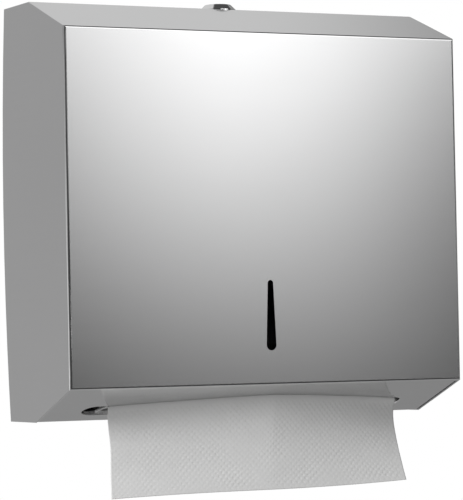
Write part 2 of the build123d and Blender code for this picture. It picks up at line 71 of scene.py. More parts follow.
# Floor, dark card, key lamp and ambient light
FLOOR_HEIGHT = -1.3
FLOOR_RADIUS = 4.0
FLOOR_SIDES = 128
FLOOR_FADE = (0.35, 0.98)
FLOOR_GREY = 0.79
FLAG_LIFT = 0.1
FLAG_CORNERS = ((0.85, -2.6), (2.2, -2.6), (0.9, -0.45), (0.1, -0.45))
FLAG_LIGHT = 0.04
KEY_PLACE = (-1.49, -1.08, 0.84)
KEY_TARGET = (0.0, -0.08, -0.15)
KEY_SIZE = 1.2
KEY_POWER = 34.5
AMBIENT_HEIGHTS = (-0.5, 0.9)
AMBIENT_LEVELS = (0.12, 0.335)
AMBIENT_FROM_LEFT = 0.9

# Light tent: degrees round from the front to the right, and up from level; a light of 1 is white
TENT_RADIUS = 20.0
TENT_RINGS = 24
TENT_TURNS = 48
TENT_HEIGHTS = (-40.0, 40.0)
TENT_LEVELS = (0.26, 0.37)
DARK_FRONT = 0.84
DARK_FRONT_ROUND = (-58.0, 60.0, 8.0)
DARK_FRONT_STEP = (13.0, 19.0)
DARK_FRONT_FEET = (-6.0, -11.0)
DARK_FRONT_TOP = 27.0
DARK_FRONT_SOFT = (3.5, 13.0)
DARK_LOW_ROUND = (19.0, 41.0, 4.0)
DARK_LOW_TOP = (-26.0, -19.0)
DARK_RIGHT = 0.4
DARK_RIGHT_ROUND = (42.0, 132.0, 10.0)
DARK_RIGHT_TOP = (25.0, 45.0)
POOL_LIGHT = 0.6
POOL_MIDDLE = (-18.0, -20.0)
POOL_SPREAD = (22.0, 9.0)
BOX_LIGHT = 1.92
BOX_MIDDLE = 26.65
BOX_SPREAD = 4.95
BOX_BENDS = (2.0, 8.0)
BOX_LEANS = (0.25, 0.2)
BOX_WIDENING = 0.25
BOX_EDGE = 0.4
BOX_EDGE_ROUND = (29.5, 32.5)
BOX_EDGE_TOP = (5.0, 8.0)
BOX_RISE = (-4.0, 10.0)
BOX_LEAST = 0.037
BOX_GAIN = 0.02
BOX_GAIN_START = 2.5
BOX_TOP = (42.0, 56.0)
BOX_FOOT = (-6.0, -3.0)
BOX_DIMMING = 0.42
BOX_DIMMING_RISE = (7.5, 15.0)
BANK_LIGHT = 1.6
BANK_ROUND = (-8.0, 44.0, 3.0)
BANK_RISE = (7.1, 9.6, 0.6)
STRIP_LIGHT = 1.0
STRIP_ROUND = (-124.0, -80.0, 6.0)
STRIP_RISE = (-35.0, 3.0, 10.0, 4.0)
BACK_LIGHT = 0.44
BACK_ROUND = (-180.5, -140.0, 6.0)
BACK_RISE = (-15.0, 20.0, 5.0)
ROOF_LIGHT = 0.34
ROOF_LAMPS = (((0.10, 0.80, 0.59), (0.888, 0.934)), ((-0.26, 0.56, 0.79), (0.90, 0.95)))
CEILING_LIGHT = 0.08
CEILING_EDGE = (0.95, 0.972)
DARK_CEILING = ((0.0, 0.0, 1.0), (0.34, -0.04, 0.94), (0.58, 0.10, 0.81))

# Steel grain: how often it changes in a metre, and the upright share of a normal that turns it
GRAIN_FINE = 2600.0
GRAIN_LONG = 14.0
GRAIN_TURN = (0.4, 0.6)

# Rivets
RIVET_HEAD = 0.0032
RIVET_RISE = 0.0007
RIVET_RIM = 0.0003
RIVET_SHANK = 0.0016
RIVET_GRIP = 0.002
RIVET_SIDES = 28
RIVET_RINGS = 4
SHANK_SIDES = 20
HAIR = 0.000001
RIVET_SETS = (("cheek_rivet_set", "cheek_rivets", 2, 2), ("pan_rivet_set", "pan_rivets", 3, 1))

# Paper and its emboss
PAPER_THICKNESS = 0.00025
PAPER_SEAT = 0.00018
CREASE_SEAT = 0.00010
CREASE_ROW = 0.00008
EMBOSS_PITCH = 0.0041
EMBOSS_DEPTH = 0.00023
EMBOSS_MARGIN = 0.003
EMBOSS_PATCHES = 45.0
EMBOSS_WANDER = 0.003
DOT_SLOPE = (-0.1, 0.9)
WORN_SLOPE = (0.3, 0.7)
WORN_LEAST = 0.35
LINE_STEPS = 40

# Hanging towel: its cut size, its sideways moves, and side views as depth and height below its crease
TOWEL_WIDTH = 0.210
TOWEL_SPAN = 0.2091
TOWEL_OVERHANG = 0.0004
TOWEL_COLUMNS = 340
TOWEL_ROWS = (24, 106)
TOWEL_SKEW = 0.006
TUCK = 0.0012
TUCK_START = 0.80
TUCK_DROP = 0.0035
FLARE = 0.0043
FLARE_DROP = 0.052
FLARE_POWER = 2.5
SLOPE_FRONT = (-0.0679, -0.12402)
SLOPE_RISE = 0.37857
CREASE_REACH = 0.0124
BULGE_PLACE = 0.08
BULGE_POWER = 1.3
IN_SLOT = ((-0.0652, -0.1228), (-0.0664, -0.1237))
LEFT_HANG = (
    (-0.0677, -0.1257), (-0.0668, -0.1300), (-0.0678, -0.1380),
    (-0.0702, -0.1510), (-0.0698, -0.1680), (-0.0700, -0.1824),
)
MIDDLE_HANG = (
    (-0.0800, -0.1213), (-0.0776, -0.1300), (-0.0755, -0.1400),
    (-0.0739, -0.1530), (-0.0729, -0.1670), (-0.0722, -0.1809),
)
RIGHT_HANG = (
    (-0.0675, -0.1257), (-0.0642, -0.1310), (-0.0634, -0.1395),
    (-0.0657, -0.1530), (-0.0682, -0.1660), (-0.0699, -0.1786),
)

# Next towel: its side view as depth and height, and the roll at its left corner
NEXT_SHIFT = 0.0065
NEXT_COLUMNS = 320
NEXT_ROWS = (40, 16)
NEXT_STEPS = 24
NEXT_CREASE = 18
NEXT_LEAF = (
    (-0.0496, -0.1271), (-0.0580, -0.1239), (-0.0646, -0.1214),
    (-0.0660, -0.1216), (-0.0666, -0.1228), (-0.0669, -0.1236),
)
NEXT_ROLL_START = 0.028
NEXT_ROLL_END = 0.016
NEXT_ROLL_RADIUS = 0.0010
NEXT_ROLL_TURNS = 1.6
NEXT_ROLL_CORE = 0.55
NEXT_ROLL_PLACE = (-0.0631, -0.1226)
NEXT_SAG_FORWARD = 0.0022
NEXT_SAG_BACK = 0.0034
NEXT_SAG_DOWN = 0.0046

# Stack of folded towels
STACK_COUNT = 10
STACK_SEED = 7
STACK_HEIGHT = 0.018
STACK_ROOM_BELOW = 0.0008
STACK_LEAF = 0.0005
STACK_LEVEL = 0.0320
STACK_BEND = 0.020
STACK_SLOPE = 20.735
STACK_RUN = 0.0855
STACK_ROOM_FRONT = 0.003
STACK_ROOM_REAR = 0.0015
STACK_ROOM_SIDE = 0.001
STACK_STRAY = 0.001
STACK_SIDE_STRAY = 0.0007
LEAF_STEPS = 23
FOLD_STEPS = 6
STACK_COLUMNS = 6


class Wire:
    """A value in a node tree. Arithmetic on it adds Math nodes."""

    def __init__(self, tree, socket):
        self.tree = tree
        self.socket = socket

    def __add__(self, other):
        return calc("ADD", self, other)

    def __sub__(self, other):
        return calc("SUBTRACT", self, other)

    def __rsub__(self, other):
        return calc("SUBTRACT", other, self)

    def __mul__(self, other):
        return calc("MULTIPLY", self, other)

    def __truediv__(self, other):
        return calc("DIVIDE", self, other)

    def __pow__(self, other):
        return calc("POWER", self, other)

    __radd__ = __add__
    __rmul__ = __mul__


def node(tree, kind, settings=None, sockets=None, out=0):
    """Add a node: its settings first, then the values or links of its sockets. Gives one output."""
    made = tree.nodes.new(kind)
    for name, value in (settings or {}).items():
        setattr(made, name, value)
    for name, value in (sockets or {}).items():
        if isinstance(value, Wire):
            tree.links.new(value.socket, made.inputs[name])
        else:
            made.inputs[name].default_value = value
    return Wire(tree, made.outputs[out]) if made.outputs else made


def calc(operation, *values):
    """A Math node on values, one of them a wire."""
    tree = next(value.tree for value in values if isinstance(value, Wire))
    return node(tree, "ShaderNodeMath", {"operation": operation}, dict(enumerate(values)))


def smooth_step(wire, low, high, start=0.0, end=1.0):
    """A smooth rise from start to end as a wire goes from low to high."""
    settings = {"interpolation_type": "SMOOTHSTEP"}
    places = {"Value": wire, "From Min": low, "From Max": high, "To Min": start, "To Max": end}
    return node(wire.tree, "ShaderNodeMapRange", settings, places)


def window(wire, low, high, soft, far_soft=None):
    """1 between two values, with soft ends."""
    far_soft = far_soft or soft
    past = smooth_step(wire, high - far_soft, high + far_soft)
    return smooth_step(wire, low - soft, low + soft) * (1 - past)


def separate(vector):
    """The X, Y and Z of a vector."""
    first = node(vector.tree, "ShaderNodeSeparateXYZ", None, {"Vector": vector})
    return [Wire(vector.tree, socket) for socket in first.socket.node.outputs]


def combine(tree, x, y, z):
    return node(tree, "ShaderNodeCombineXYZ", None, {"X": x, "Y": y, "Z": z})


def noise(tree, vector, scale=1.0, detail=2.0, roughness=0.5):
    sockets = {"Vector": vector, "Scale": scale, "Detail": detail, "Roughness": roughness}
    return node(tree, "ShaderNodeTexNoise", None, sockets)


def grey_mix(tree, factor, first, second):
    """A colour between two colours."""
    settings = {"data_type": "RGBA"}
    return node(tree, "ShaderNodeMix", settings, {0: factor, 6: (*first, 1.0), 7: (*second, 1.0)}, out=2)


def grey(level):
    return level, level, level, 1.0


def new_material(name):
    material = bpy.data.materials.new(name)
    material.use_nodes = True
    material.node_tree.nodes.clear()
    return material, material.node_tree


def object_place(tree):
    return node(tree, "ShaderNodeTexCoord", out="Object")


def surface(tree, sockets):
    """Principled surface on the material's output."""
    shader = node(tree, "ShaderNodeBsdfPrincipled", None, sockets)
    node(tree, "ShaderNodeOutputMaterial", None, {"Surface": shader})


def bump(tree, height, strength, distance):
    sockets = {"Height": height, "Strength": strength, "Distance": distance}
    return node(tree, "ShaderNodeBump", None, sockets)


# Finishes


def rolled_grain(tree):
    """Fine grain that runs along the sheet: level on upright faces, along X on level ones."""
    x, y, z = separate(object_place(tree))
    facing = separate(node(tree, "ShaderNodeNewGeometry", out="Normal"))[2]
    level = smooth_step(calc("ABSOLUTE", facing), *GRAIN_TURN)
    across = z * (1 - level) + y * level
    along_y = y * (1 - level)
    place = combine(tree, x * GRAIN_LONG, along_y * GRAIN_LONG, across * GRAIN_FINE)
    return noise(tree, place, detail=3.0, roughness=0.6)


def steel(name, colour, shade, roughness, spread, grain_depth):
    """Rolled stainless sheet: grain in the gloss and the bump, with faint hazy patches."""
    material, tree = new_material(name)
    grain = rolled_grain(tree)
    haze = noise(tree, object_place(tree), scale=9.0, detail=3.0, roughness=0.55)
    rough = roughness + spread * (grain - 0.5) + spread * (haze - 0.5)
    tone = smooth_step(haze * 0.5 + grain * 0.5, 0.3, 0.7)
    sockets = {
        "Base Color": grey_mix(tree, tone, shade, colour),
        "Metallic": 1.0,
        "Roughness": rough,
        "Normal": bump(tree, grain, strength=0.06, distance=grain_depth),
    }
    surface(tree, sockets)
    return material


def polished_steel():
    colour = (0.665, 0.665, 0.668)
    shade = (0.645, 0.645, 0.647)
    return steel("polished_steel", colour, shade, roughness=0.13, spread=0.04, grain_depth=0.00002)


def plate_steel():
    colour = (0.58, 0.58, 0.59)
    shade = (0.53, 0.53, 0.54)
    return steel("plate_steel", colour, shade, roughness=0.36, spread=0.1, grain_depth=0.00006)


def drawn_steel():
    """Bright drawn steel of pins and rivets, with fine turning marks."""
    material, tree = new_material("drawn_steel")
    marks = noise(tree, object_place(tree), scale=2400.0)
    wear = noise(tree, object_place(tree), scale=320.0, detail=3.0)
    sockets = {
        "Base Color": grey_mix(tree, wear, (0.52, 0.52, 0.52), (0.64, 0.64, 0.63)),
        "Metallic": 1.0,
        "Roughness": 0.22 + 0.14 * wear,
        "Normal": bump(tree, marks, strength=0.08, distance=0.00004),
    }
    surface(tree, sockets)
    return material


def chrome():
    """Bright plate with hairline scratches."""
    material, tree = new_material("lock_chrome")
    x, y, z = separate(object_place(tree))
    hairs = noise(tree, combine(tree, x * 2500.0, y * 300.0, z * 300.0))
    scratch = smooth_step(hairs, 0.62, 0.78)
    sockets = {
        "Base Color": grey_mix(tree, scratch, (0.80, 0.80, 0.80), (0.70, 0.70, 0.70)),
        "Metallic": 1.0,
        "Roughness": 0.07 + 0.12 * scratch,
    }
    surface(tree, sockets)
    return material


def zinc():
    """Bright zinc plate with its faint cloudy bloom."""
    material, tree = new_material("zinc_plate")
    cloud = noise(tree, object_place(tree), scale=260.0, detail=4.0, roughness=0.6)
    sockets = {
        "Base Color": grey_mix(tree, cloud, (0.55, 0.57, 0.59), (0.68, 0.69, 0.68)),
        "Metallic": 1.0,
        "Roughness": 0.24 + 0.22 * cloud,
        "Normal": bump(tree, cloud, strength=0.06, distance=0.00008),
    }
    surface(tree, sockets)
    return material


def nylon():
    """Natural nylon with a slightly mottled moulded skin."""
    material, tree = new_material("nylon")
    mottle = noise(tree, object_place(tree), scale=700.0, detail=3.0)
    sockets = {
        "Base Color": grey_mix(tree, mottle, (0.80, 0.79, 0.75), (0.88, 0.87, 0.84)),
        "Roughness": 0.42 + 0.1 * mottle,
        "Subsurface Weight": 0.15,
        "Subsurface Radius": (0.001, 0.001, 0.001),
        "Normal": bump(tree, mottle, strength=0.1, distance=0.00005),
    }
    surface(tree, sockets)
    return material


def paper():
    """White towel paper: short fibres and faint crepe across the sheet."""
    material, tree = new_material("towel_paper")
    place = object_place(tree)
    x, y, z = separate(place)
    fibre = noise(tree, place, scale=1500.0, detail=4.0, roughness=0.65)
    crepe = noise(tree, combine(tree, x * 260.0, y * 1700.0, z * 1700.0))
    cloud = noise(tree, place, scale=90.0)
    tone = fibre * 0.5 + cloud * 0.5
    sockets = {
        "Base Color": grey_mix(tree, tone, (0.80, 0.80, 0.795), (0.90, 0.90, 0.895)),
        "Roughness": 0.92,
        "Specular IOR Level": 0.25,
        "Normal": bump(tree, fibre * 0.6 + crepe * 0.4, strength=0.35, distance=0.00012),
    }
    surface(tree, sockets)
    return material


FINISHES = {
    "polished_steel": polished_steel(),
    "plate_steel": plate_steel(),
    "fastener_steel": drawn_steel(),
    "nylon": nylon(),
    "lock_chrome": chrome(),
    "zinc_plate": zinc(),
    "towel_paper": paper(),
}


def dress_frame():
    """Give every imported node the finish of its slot."""
    for part in frame["record"]["subparts"]:
        for place in frame["nodes"][part["node"]].material_slots:
            place.material = FINISHES[part["material_slot"]]


# Pieces


def show(thing):
    bpy.context.scene.collection.objects.link(thing)


def new_piece(name, points, faces, slot):
    """A mesh piece in the frame's own place, smooth shaded, with its slot's finish."""
    mesh = bpy.data.meshes.new(name)
    mesh.from_pydata([tuple(p) for p in points], [], faces)
    mesh.polygons.foreach_set("use_smooth", [True] * len(mesh.polygons))
    mesh.materials.append(FINISHES[slot])
    mesh.update()
    piece = bpy.data.objects.new(name, mesh)
    show(piece)
    return piece


def thicken(piece, thickness):
    """Give a sheet its thickness, half to each side."""
    solid = piece.modifiers.new("thickness", "SOLIDIFY")
    solid.thickness = thickness
    solid.offset = 0.0


def bake(piece):
    """Turn a piece and its modifiers into a plain mesh."""
    bpy.context.view_layer.update()
    graph = bpy.context.evaluated_depsgraph_get()
    mesh = bpy.data.meshes.new_from_object(piece.evaluated_get(graph))
    piece.modifiers.clear()
    piece.data = mesh
    return piece


def place_piece(piece, body, slot, *nodes):
    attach(piece, body)
    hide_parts(*nodes)


def grid_faces(rows, columns):
    """Quads between rows of points, all rows alike."""
    faces = []
    for r in range(rows - 1):
        for c in range(columns - 1):
            first = r * columns + c
            faces.append((first, first + columns, first + columns + 1, first + 1))
    return faces


# Geometry node trees


def new_tree(name, labels):
    """A geometry tree with a mesh in, a mesh out and named sizes as inputs."""
    tree = bpy.data.node_groups.new(name, "GeometryNodeTree")
    tree.interface.new_socket("Geometry", in_out="OUTPUT", socket_type="NodeSocketGeometry")
    tree.interface.new_socket("Geometry", in_out="INPUT", socket_type="NodeSocketGeometry")
    for label in labels:
        tree.interface.new_socket(label, in_out="INPUT", socket_type="NodeSocketFloat")
    entry = tree.nodes.new("NodeGroupInput")
    wires = {socket.name: Wire(tree, socket) for socket in entry.outputs if socket.name}
    return tree, wires


def end_tree(tree, shape, material):
    """Realize what is repeated, set its finish and hand the mesh out."""
    whole = node(tree, "GeometryNodeRealizeInstances", None, {"Geometry": shape})
    dressed = node(tree, "GeometryNodeSetMaterial", None, {"Geometry": whole, "Material": material})
    node(tree, "NodeGroupOutput", None, {"Geometry": dressed})
    return tree


def use_tree(piece, tree, values):
    """Put a tree on a piece, with its inputs set by their identifiers."""
    modifier = piece.modifiers.new(tree.name, "NODES")
    modifier.node_group = tree
    names = {s.name: s.identifier for s in tree.interface.items_tree if s.in_out == "INPUT"}
    for label, value in values.items():
        modifier[names[label]] = value


def lift(tree, shape, height):
    """Move a shape up inside a tree."""
    sockets = {"Geometry": shape, "Translation": combine(tree, 0.0, 0.0, height)}
    return node(tree, "GeometryNodeTransform", None, sockets)


def rivet_tree():
    """Domed rivets on the points of a mesh, heads towards -Y and shanks back to the wall face."""
    tree, given = new_tree("rivets", ("Head Radius", "Head Rise", "Rim", "Shank Radius", "Grip"))
    radius, rim, grip = given["Head Radius"], given["Rim"], given["Grip"]
    rim_sockets = {"Vertices": RIVET_SIDES, "Fill Segments": RIVET_RINGS, "Radius": radius, "Depth": rim}
    disc = node(tree, "GeometryNodeMeshCylinder", None, rim_sockets)
    x, y, z = separate(node(tree, "GeometryNodeInputPosition"))
    reach = (x * x + y * y) / (radius * radius)
    top = smooth_step(z, 0.0, HAIR)
    dome = combine(tree, 0.0, 0.0, given["Head Rise"] * (1 - reach) * top)
    head = node(tree, "GeometryNodeSetPosition", None, {"Geometry": disc, "Offset": dome})
    head = lift(tree, head, grip + rim * 0.5)
    shank_sockets = {"Vertices": SHANK_SIDES, "Radius": given["Shank Radius"], "Depth": grip}
    shank = node(tree, "GeometryNodeMeshCylinder", None, shank_sockets)
    shank = lift(tree, shank, grip * 0.5)
    rivet = node(tree, "GeometryNodeJoinGeometry", None, {"Geometry": head})
    tree.links.new(shank.socket, rivet.socket.node.inputs["Geometry"])
    spots = {"Points": given["Geometry"], "Instance": rivet, "Rotation": (math.pi / 2, 0.0, 0.0)}
    rows = node(tree, "GeometryNodeInstanceOnPoints", None, spots)
    return end_tree(tree, rows, FINISHES["fastener_steel"])


def emboss_tree():
    """Raise a diagonal lattice of small dots from a sheet, by its flat coordinates, uneven in patches."""
    tree, given = new_tree("emboss", ("Pitch", "Depth", "Patches", "Wander"))
    flat = node(tree, "GeometryNodeInputNamedAttribute", {"data_type": "FLOAT_VECTOR"}, {"Name": "flat"})
    across, along, edge = separate(flat)
    patches = noise(tree, flat, given["Patches"])
    stray = (patches - 0.5) * given["Wander"]
    waves = [calc("COSINE", (way + stray) / given["Pitch"] * (2 * math.pi)) for way in (across, along)]
    worn = smooth_step(patches, *WORN_SLOPE, WORN_LEAST, 1.0)
    rise = smooth_step(waves[0] * waves[1], *DOT_SLOPE) * given["Depth"] * edge * worn
    normal = node(tree, "GeometryNodeInputNormal")
    offset = node(tree, "ShaderNodeVectorMath", {"operation": "SCALE"}, {0: normal, "Scale": rise})
    shape = node(tree, "GeometryNodeSetPosition", None, {"Geometry": given["Geometry"], "Offset": offset})
    return end_tree(tree, shape, FINISHES["towel_paper"])


EMBOSS = emboss_tree()
EMBOSS_SIZES = {
    "Pitch": EMBOSS_PITCH,
    "Depth": EMBOSS_DEPTH,
    "Patches": EMBOSS_PATCHES,
    "Wander": EMBOSS_WANDER,
}


# Paper


def smooth_line(points, count):
    """A rounded line through points, as so many points at even steps, and its length."""
    knots = np.array(points, float)
    ends = np.vstack([2 * knots[0] - knots[1], knots, 2 * knots[-1] - knots[-2]])
    fine = []
    for i in range(1, len(ends) - 2):
        a, b, c, d = ends[i - 1:i + 3]
        for t in np.linspace(0, 1, LINE_STEPS, endpoint=False):
            bend = 2 * a - 5 * b + 4 * c - d + t * (3 * (b - c) + d - a)
            fine.append(b + 0.5 * t * (c - a + t * bend))
    fine = np.array(fine + [knots[-1]])
    steps = np.concatenate([[0], np.cumsum(np.linalg.norm(np.diff(fine, axis=0), axis=1))])
    even = np.linspace(0, steps[-1], count)
    return np.stack([np.interp(even, steps, fine[:, k]) for k in range(fine.shape[1])], axis=1), steps[-1]


def under_slope(y, seat):
    """A point of paper that lies against the slope of the pan, at a depth."""
    return y, SLOPE_FRONT[1] - SLOPE_RISE * (y - SLOPE_FRONT[0]) - seat


def towel_profile(place):
    """Side view of the towel, -1 at its left to 1 at its right: its run to the crease, and its hang."""
    left, middle, right = (np.array(p) for p in (LEFT_HANG, MIDDLE_HANG, RIGHT_HANG))
    ends = left * (1 - place) / 2 + right * (1 + place) / 2
    away = (place - BULGE_PLACE) / (1 + BULGE_PLACE if place < BULGE_PLACE else 1 - BULGE_PLACE)
    bulge = 1 - abs(away) ** BULGE_POWER
    front = SLOPE_FRONT[0]
    reach = CREASE_REACH * bulge
    run = [under_slope(front - reach * k / 3, PAPER_SEAT) for k in range(3)]
    crease = under_slope(front - reach, CREASE_SEAT)
    hang = ends * (1 - bulge) + middle * bulge
    return list(IN_SLOT) + run + [crease], [crease] + list(map(tuple, hang))


def towel_shift(place, drop):
    """Sideways move of the hanging towel: askew, drawn in at the right by the slot, spread out below."""
    edge = max(0.0, (place - TUCK_START) / (1 - TUCK_START)) ** 2
    flare = FLARE * max(0.0, place) * (drop / FLARE_DROP) ** FLARE_POWER
    return TOWEL_SKEW * drop + flare - TUCK * edge * math.exp(-drop / TUCK_DROP)


def no_shift(place, drop):
    return 0.0


def beside(spot, other):
    """A point close to the crease on the way to another point, which keeps the crease sharp."""
    return spot + (other - spot) * CREASE_ROW / np.linalg.norm(other - spot)


def sheet_piece(name, span, left, profile, shift, columns, counts):
    """A paper sheet through its side views: embossed below its crease, then given its thickness."""
    points = []
    flats = []
    for c in range(columns):
        share = c / (columns - 1)
        place = 2 * share - 1
        inner, outer = profile(place)
        hidden = smooth_line(inner, counts[0])[0]
        shown, length = smooth_line(outer, counts[1])
        drops = [0.0] * (counts[0] + 1) + [CREASE_ROW] + list(np.linspace(0, length, counts[1])[1:])
        edge = min(share, 1 - share) * TOWEL_WIDTH
        crease = [beside(hidden[-1], hidden[-2]), hidden[-1], beside(shown[0], shown[1])]
        for (y, z), drop in zip(np.vstack([hidden[:-1], crease, shown[1:]]), drops):
            points.append((left + share * span + shift(place, drop), y, z))
            inset = min(edge, length - drop, drop - 0.5 * EMBOSS_MARGIN)
            flats.append((share * TOWEL_WIDTH, drop, min(1.0, max(0.0, inset / EMBOSS_MARGIN))))
    piece = new_piece(name, points, grid_faces(columns, sum(counts) + 1), "towel_paper")
    attribute = piece.data.attributes.new("flat", "FLOAT_VECTOR", "POINT")
    attribute.data.foreach_set("vector", np.array(flats, np.float32).ravel())
    use_tree(piece, EMBOSS, EMBOSS_SIZES)
    thicken(piece, PAPER_THICKNESS)
    return bake(piece)


def make_hanging_towel():
    """The towel in the slot."""
    low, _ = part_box("hanging_towel")
    left = low.x - TOWEL_OVERHANG
    shape = (TOWEL_SPAN, left, towel_profile, towel_shift, TOWEL_COLUMNS, TOWEL_ROWS)
    piece = sheet_piece("hanging_towel_sheet", *shape)
    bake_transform(piece)
    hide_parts("hanging_towel")


def next_roll(from_corner):
    """Side view of the roll at the next towel's left corner, which sags towards its end."""
    sag = max(0.0, 1 - from_corner / NEXT_ROLL_END) ** 2
    y = NEXT_ROLL_PLACE[0] - NEXT_SAG_FORWARD * sag + NEXT_SAG_BACK * sag * sag
    middle = np.array([y, NEXT_ROLL_PLACE[1] - NEXT_SAG_DOWN * sag])
    roll = []
    for share in np.linspace(0, 1, NEXT_STEPS + 1):
        radius = NEXT_ROLL_RADIUS * (NEXT_ROLL_CORE + (1 - NEXT_ROLL_CORE) * share)
        turn = 2 * math.pi * NEXT_ROLL_TURNS * share
        roll.append(middle + radius * np.array([math.cos(turn), math.sin(turn)]))
    return np.array(roll)


def next_profile(place):
    """Side view of the next towel: a leaf under the stack, its edge in the slot, rolled at the left."""
    from_corner = (1 + place) / 2 * TOWEL_WIDTH
    flat = smooth_line(NEXT_LEAF, NEXT_STEPS + 1)[0]
    part = (from_corner - NEXT_ROLL_END) / (NEXT_ROLL_START - NEXT_ROLL_END)
    part = min(1.0, max(0.0, part))
    open_share = part * part * (3 - 2 * part)
    line = flat * open_share + next_roll(from_corner) * (1 - open_share)
    return line[:NEXT_CREASE + 1], line[NEXT_CREASE:]


def make_next_towel():
    """The next towel, waiting in the slot behind the hanging one."""
    low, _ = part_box("hanging_towel")
    left = low.x - NEXT_SHIFT
    piece = sheet_piece("next_towel", TOWEL_WIDTH, left, next_profile, no_shift, NEXT_COLUMNS, NEXT_ROWS)
    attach(piece, "wall_body")


def stack_point(along, offset, rear, middle):
    """Depth and height on a layer of the stack, which runs level from the rear and then up the slope."""
    slope = math.radians(STACK_SLOPE)
    bend = STACK_BEND * slope
    turn = min(max(along - STACK_LEVEL, 0.0), bend) / STACK_BEND
    past = max(along - STACK_LEVEL - bend, 0.0)
    y = rear - min(along, STACK_LEVEL) - STACK_BEND * math.sin(turn) - past * math.cos(slope)
    z = middle + STACK_BEND * (1 - math.cos(turn)) + past * math.sin(slope)
    return y + offset * math.sin(turn), z + offset * math.cos(turn)


def folded_towel(index, pitch, rear, middle, draw):
    """One towel folded in two: a lower leaf, a rounded fold at the front or rear, and an upper leaf."""
    low = STACK_ROOM_BELOW + (2 * index + 0.5) * pitch - STACK_HEIGHT / 2
    start = STACK_ROOM_REAR + draw.uniform(-STACK_STRAY, STACK_STRAY)
    end = STACK_RUN - STACK_ROOM_FRONT + draw.uniform(-STACK_STRAY, STACK_STRAY)
    if index % 2:
        start, end = end, start
    leaf = [start + (end - start) * k / LEAF_STEPS for k in range(LEAF_STEPS + 1)]
    hand = 1 if end > start else -1
    fold = []
    for a in np.linspace(0, math.pi, FOLD_STEPS + 1)[1:-1]:
        fold.append((end + hand * pitch / 2 * math.sin(a), low + pitch / 2 * (1 - math.cos(a))))
    line = [(a, low) for a in leaf] + fold + [(a, low + pitch) for a in reversed(leaf)]
    return [stack_point(a, offset, rear, middle) for a, offset in line]


def make_stack():
    """Low stack of folded towels in the magazine, lying on the pan's slope and the slot's collar."""
    low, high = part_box("towel_stack")
    draw = random.Random(STACK_SEED)
    pitch = (STACK_HEIGHT - STACK_ROOM_BELOW) / (2 * STACK_COUNT)
    width = high.x - low.x - 2 * STACK_ROOM_SIDE
    points = []
    faces = []
    for index in range(STACK_COUNT):
        line = folded_towel(index, pitch, high.y, low.z + STACK_HEIGHT / 2, draw)
        left = low.x + STACK_ROOM_SIDE + draw.uniform(-STACK_SIDE_STRAY, STACK_SIDE_STRAY)
        columns = [left + width * c / STACK_COLUMNS for c in range(STACK_COLUMNS + 1)]
        first = len(points)
        points += [(x, y, z) for x in columns for y, z in line]
        faces += [tuple(first + corner for corner in face) for face in grid_faces(len(columns), len(line))]
    piece = new_piece("folded_towels", points, faces, "towel_paper")
    thicken(piece, STACK_LEAF)
    bake(piece)
    place_piece(piece, "wall_body", "towel_paper", "towel_stack")


def rivet_spots(low, high, columns, rows):
    """Middles of the rivets in a box that their heads fill, in columns and rows."""
    spots = []
    for c in range(columns):
        for r in range(rows):
            x = low.x + RIVET_HEAD + c * (high.x - low.x - 2 * RIVET_HEAD) / (columns - 1)
            z = low.z + RIVET_HEAD + r * (high.z - low.z - 2 * RIVET_HEAD) / max(1, rows - 1)
            spots.append((x, 0.0, z))
    return spots


def make_rivets():
    """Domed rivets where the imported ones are: a row up each cheek and a row along the pan."""
    tree = rivet_tree()
    sizes = {"Head Radius": RIVET_HEAD, "Head Rise": RIVET_RISE, "Rim": RIVET_RIM}
    sizes.update({"Shank Radius": RIVET_SHANK, "Grip": RIVET_GRIP})
    for name, node_name, columns, rows in RIVET_SETS:
        spots = rivet_spots(*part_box(node_name), columns, rows)
        piece = new_piece(name, spots, [], "fastener_steel")
        use_tree(piece, tree, sizes)
        bake(piece)
        place_piece(piece, "wall_body", "fastener_steel", node_name)


# Studio


def make_camera():
    data = bpy.data.cameras.new("camera")
    data.sensor_width = SENSOR
    data.lens = FOCAL_PIXELS * SENSOR / IMAGE_HEIGHT
    data.clip_start = CLIP_NEAR
    data.clip_end = CLIP_FAR
    camera = bpy.data.objects.new("camera", data)
    show(camera)
    turn = Matrix.Rotation(math.radians(CAMERA_YAW), 4, "Z")
    turn = turn @ Matrix.Rotation(math.radians(90 + CAMERA_PITCH), 4, "X")
    turn = turn @ Matrix.Rotation(math.radians(CAMERA_ROLL), 4, "Z")
    camera.matrix_world = Matrix.Translation(CAMERA_PLACE) @ turn
    bpy.context.scene.camera = camera


def make_world():
    """White to the eye, in metal and in glass; softer on the rest, from above and the left."""
    world = bpy.data.worlds.new("studio")
    world.use_nodes = True
    tree = world.node_tree
    tree.nodes.clear()
    right, _, up = separate(node(tree, "ShaderNodeTexCoord", out="Generated"))
    level = smooth_step(up, *AMBIENT_HEIGHTS, *AMBIENT_LEVELS) * (1 - AMBIENT_FROM_LEFT * right)
    soft = node(tree, "ShaderNodeBackground", None, {"Color": level, "Strength": 1.0})
    white = node(tree, "ShaderNodeBackground", None, {"Color": grey(1.0), "Strength": 1.0})
    kinds = ("Is Camera Ray", "Is Glossy Ray", "Is Transmission Ray")
    rays = [node(tree, "ShaderNodeLightPath", out=kind) for kind in kinds]
    seen = calc("MINIMUM", rays[0] + rays[1] + rays[2], 1.0)
    sky = node(tree, "ShaderNodeMixShader", None, {0: seen, 1: soft, 2: white})
    node(tree, "ShaderNodeOutputWorld", None, {"Surface": sky})
    bpy.context.scene.world = world


def new_stage(name, points, faces, material):
    """A mesh of the studio, which isn't part of the dispenser."""
    mesh = bpy.data.meshes.new(name)
    mesh.from_pydata(points, [], faces)
    mesh.materials.append(material)
    stage = bpy.data.objects.new(name, mesh)
    show(stage)
    return stage


